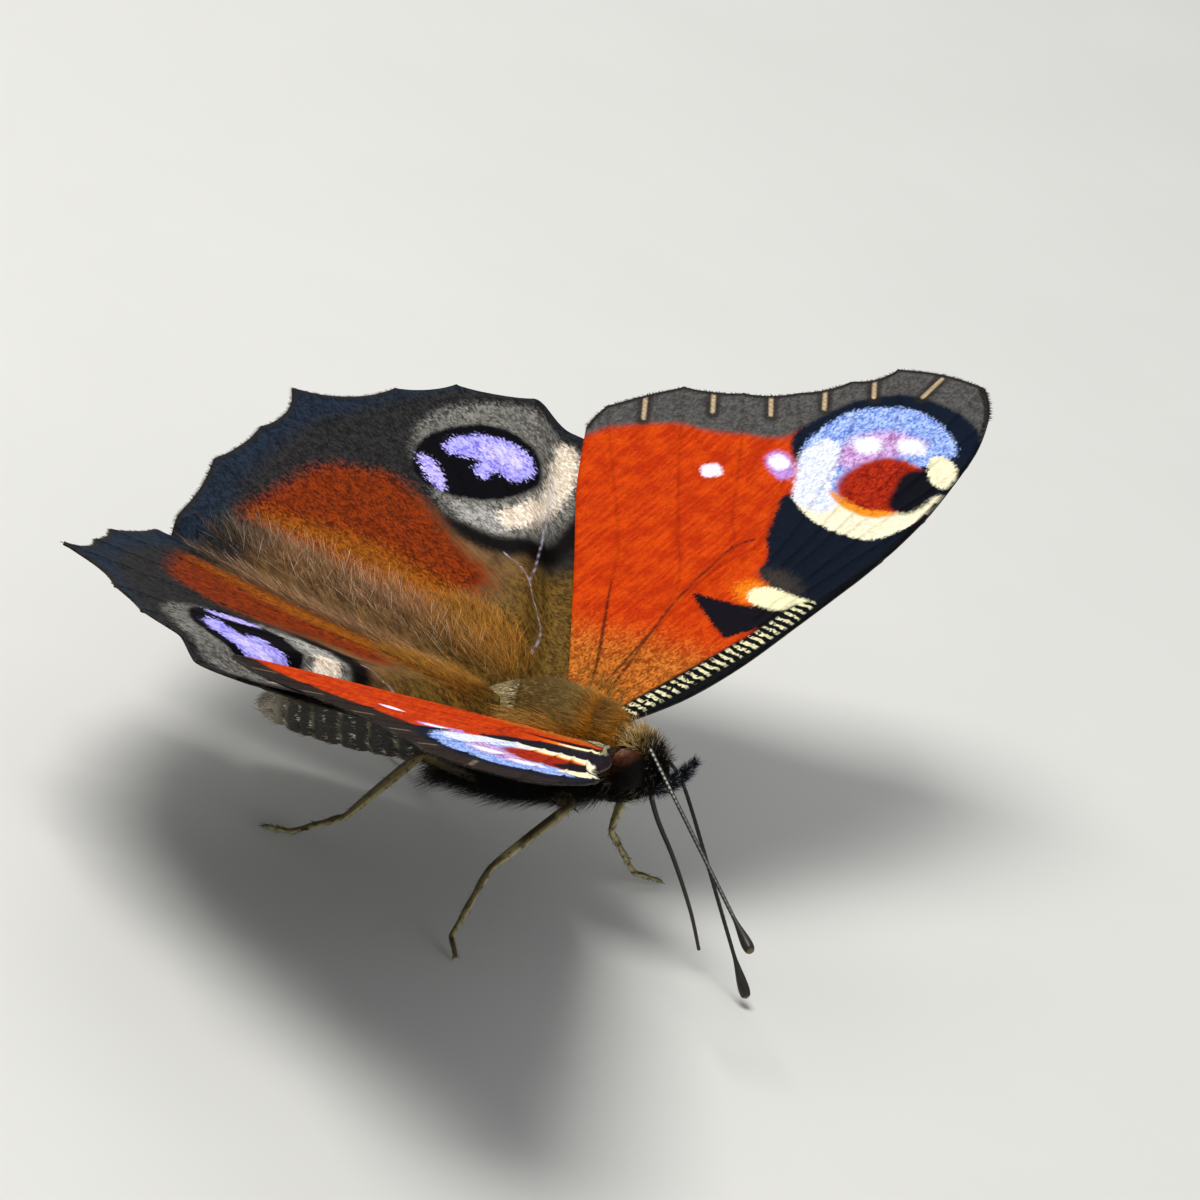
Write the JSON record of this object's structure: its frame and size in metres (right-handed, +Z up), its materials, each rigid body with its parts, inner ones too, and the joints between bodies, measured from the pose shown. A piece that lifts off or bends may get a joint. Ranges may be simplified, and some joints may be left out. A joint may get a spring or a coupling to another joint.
{
  "type": "peacock butterfly model",
  "caption": "Still, life-size peacock butterfly standing on its legs with its wings half open, an eyespot on each wing.",
  "frame": {"origin": "on the floor, at the middle of the whole model's bounding box seen from above", "axes": "+X towards the head, +Y to the butterfly's left, +Z up from the floor"},
  "size_m": [0.032, 0.0566, 0.0195],
  "materials": {
    "thorax": "long olive-brown and orange-brown hair with a dull golden sheen",
    "head": "bristly blackish-brown hair tufts",
    "eye": "dark brown-black, faceted, with a soft gloss",
    "abdomen": "dark grey-brown scales with paler hind edges to the segments",
    "antenna": "blackish, ringed with fine white lines, pale at the tip",
    "leg": "olive to golden brown scales",
    "forewing": "matt scales, orange-red above with an eyespot, blackish-brown below",
    "hindwing": "matt scales, rust-brown and grey above with a blue eyespot, blackish-brown below"
  },
  "bodies": {
    "root": {"thorax": "thorax", "head": "head", "abdomen": "abdomen", "eye_left": "eye", "eye_right": "eye", "proboscis": "antenna", "palp_left": "head", "palp_right": "head", "antenna_left": "antenna", "antenna_right": "antenna", "foreleg_left": "leg", "foreleg_right": "leg", "midleg_left": "leg", "midleg_right": "leg", "hindleg_left": "leg", "hindleg_right": "leg", "forewing_left": "forewing", "forewing_right": "forewing", "hindwing_left": "hindwing", "hindwing_right": "hindwing"}
  },
  "joints": []
}
